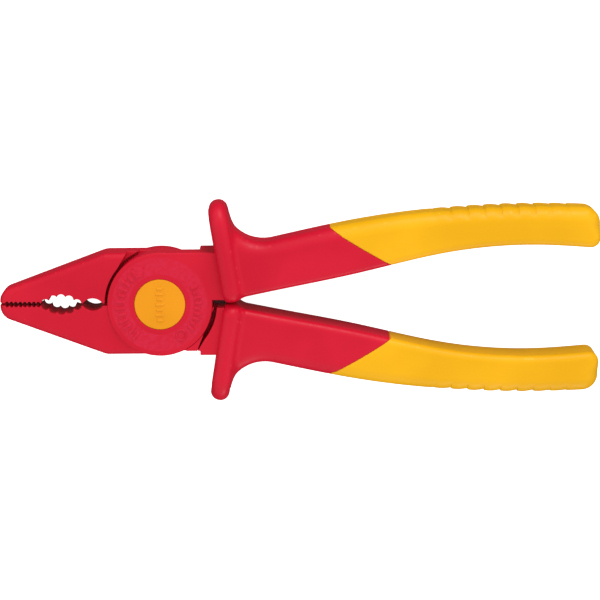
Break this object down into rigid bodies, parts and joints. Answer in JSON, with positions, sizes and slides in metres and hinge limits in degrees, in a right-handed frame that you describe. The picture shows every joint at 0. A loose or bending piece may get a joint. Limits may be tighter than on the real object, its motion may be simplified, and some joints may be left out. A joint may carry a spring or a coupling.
{
  "type": "insulated gripping pliers",
  "caption": "Insulated all-plastic pliers with flat toothed jaws, a pipe grip, finger guards and two-colour handles, turning on a lap joint.",
  "frame": {"origin": "on the pivot axis at the outer face of the rear pivot cap", "axes": "+X from the pivot towards the handle ends, +Y towards the upper handle, +Z along the pivot axis out of the front cap"},
  "size_m": [0.18, 0.0602, 0.0201],
  "materials": {
    "red_body": "satin, glass-fibre filled",
    "red_sleeve": "satin, smooth",
    "yellow_grip": "satin, smooth",
    "yellow_cap": "satin",
    "bearing_plastic": "natural, unpainted"
  },
  "bodies": {
    "rear_side": {"rear_half": "red_body", "rear_guard_sleeve": "red_sleeve", "rear_grip": "yellow_grip", "rear_pivot_cap": "yellow_cap", "pivot_sleeve": "bearing_plastic", "pivot_stud": "bearing_plastic", "lap_washer": "bearing_plastic"},
    "front_side": {"front_half": "red_body", "front_guard_sleeve": "red_sleeve", "front_grip": "yellow_grip", "front_pivot_cap": "yellow_cap"}
  },
  "joints": [
    {"name": "pivot", "type": "hinge", "parent": "rear_side", "child": "front_side", "pos_m": [0, 0, 0.00685], "axis": [0, 0, 1], "range_deg": [0, 38]}
  ]
}
